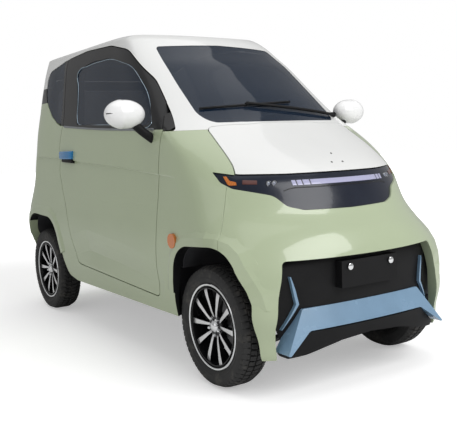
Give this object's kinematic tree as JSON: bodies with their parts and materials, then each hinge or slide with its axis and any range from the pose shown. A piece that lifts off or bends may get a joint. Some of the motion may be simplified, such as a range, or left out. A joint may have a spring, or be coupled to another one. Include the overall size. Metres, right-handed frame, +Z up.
{
  "type": "microcar",
  "caption": "Two-door bubble-shaped electric microcar with a tailgate, an opening bonnet, steered front wheels, alloy rims and a hollow cabin.",
  "frame": {"origin": "on the ground, at the middle of the car's length and width", "axes": "-Y forward, +X to the car's left, +Z up"},
  "size_m": [1.54, 2.7935, 1.6207],
  "materials": {
    "green_paint": "gloss",
    "white_paint": "gloss",
    "gloss_black": "gloss",
    "black_plastic": "satin",
    "silver_trim": "gloss",
    "tinted_glass": "gloss",
    "clear_lens": "gloss",
    "amber_lens": "gloss",
    "red_lens": "gloss",
    "tyre_rubber": "matte",
    "bright_alloy": "polished",
    "bare_steel": "satin",
    "chassis_black": "satin",
    "cast_grey": "matte",
    "grey_fabric": "matte",
    "dark_trim": "matte",
    "white_plastic": "gloss",
    "blue_film": "gloss"
  },
  "bodies": {
    "root": {"roof_shell": "white_paint", "side_panel_left": "green_paint", "side_panel_right": "green_paint", "front_bumper": "green_paint", "rear_bumper": "green_paint", "bumper_panel": "black_plastic", "bumper_brightwork": "silver_trim", "lower_lip": "black_plastic", "plate_bracket": "black_plastic", "lamp_strip": "gloss_black", "front_lamps": "clear_lens", "amber_lamps": "amber_lens", "fixed_glass": "tinted_glass", "black_panels": "gloss_black", "tail_lamps": "red_lens", "wheel_liners": "dark_trim", "floor_pan": "chassis_black", "battery_block": "cast_grey", "firewall": "chassis_black", "front_subframe": "chassis_black", "rear_axle": "chassis_black", "motor_block": "cast_grey", "wiper": "black_plastic", "dashboard": "dark_trim", "front_seats": "grey_fabric", "rear_seat": "grey_fabric"},
    "steering_wheel": {"steering_wheel": "dark_trim"},
    "bonnet": {"bonnet": "white_paint"},
    "door_left": {"door_left": "green_paint", "door_glass_left": "tinted_glass", "mirror_left": "white_plastic", "door_handle_left": "blue_film"},
    "door_right": {"door_right": "green_paint", "door_glass_right": "tinted_glass", "mirror_right": "white_plastic", "door_handle_right": "blue_film"},
    "tailgate": {"tailgate": "green_paint", "tailgate_glass": "tinted_glass"},
    "knuckle_left": {"knuckle_left": "bare_steel"},
    "knuckle_right": {"knuckle_right": "bare_steel"},
    "wheel_front_left": {"tyre_front_left": "tyre_rubber", "rim_front_left": "bright_alloy"},
    "wheel_front_right": {"tyre_front_right": "tyre_rubber", "rim_front_right": "bright_alloy"},
    "wheel_rear_left": {"tyre_rear_left": "tyre_rubber", "rim_rear_left": "bright_alloy"},
    "wheel_rear_right": {"tyre_rear_right": "tyre_rubber", "rim_rear_right": "bright_alloy"}
  },
  "joints": [
    {"name": "steer_left", "type": "hinge", "parent": "root", "child": "knuckle_left", "pos_m": [0.418, -0.9892, 0.15], "axis": [-0.1611, 0, 0.9869], "range_deg": [-30, 30]},
    {"name": "steer_right", "type": "hinge", "parent": "root", "child": "knuckle_right", "pos_m": [-0.418, -0.9892, 0.15], "axis": [0.1611, 0, 0.9869], "range_deg": [-30, 30]},
    {"name": "steering_wheel_turn", "type": "hinge", "parent": "root", "child": "steering_wheel", "pos_m": [0.23, -0.2292, 0.96], "axis": [0, 0.8821, 0.4711], "range_deg": [-240, 240]},
    {"name": "roll_front_left", "type": "hinge", "parent": "knuckle_left", "child": "wheel_front_left", "pos_m": [0.479, -0.9892, 0.258], "axis": [1, 0, 0], "continuous": true},
    {"name": "roll_front_right", "type": "hinge", "parent": "knuckle_right", "child": "wheel_front_right", "pos_m": [-0.479, -0.9892, 0.258], "axis": [1, 0, 0], "continuous": true},
    {"name": "roll_rear_left", "type": "hinge", "parent": "root", "child": "wheel_rear_left", "pos_m": [0.479, 1.0108, 0.258], "axis": [1, 0, 0], "continuous": true},
    {"name": "roll_rear_right", "type": "hinge", "parent": "root", "child": "wheel_rear_right", "pos_m": [-0.479, 1.0108, 0.258], "axis": [1, 0, 0], "continuous": true},
    {"name": "door_left_swing", "type": "hinge", "parent": "root", "child": "door_left", "pos_m": [0.58, -0.6442, 0.7], "axis": [0, 0, -1], "range_deg": [0, 65]},
    {"name": "door_right_swing", "type": "hinge", "parent": "root", "child": "door_right", "pos_m": [-0.58, -0.6442, 0.7], "axis": [0, 0, 1], "range_deg": [0, 65]},
    {"name": "tailgate_swing", "type": "hinge", "parent": "root", "child": "tailgate", "pos_m": [0, 1.2468, 1.49], "axis": [1, 0, 0], "range_deg": [0, 78]},
    {"name": "bonnet_swing", "type": "hinge", "parent": "root", "child": "bonnet", "pos_m": [0, -0.7832, 1.128], "axis": [-1, 0, 0], "range_deg": [0, 55]}
  ],
  "couplings": [
    {"joint": "steer_right", "follows": "steer_left", "ratio": 1},
    {"joint": "steering_wheel_turn", "follows": "steer_left", "ratio": 8}
  ]
}
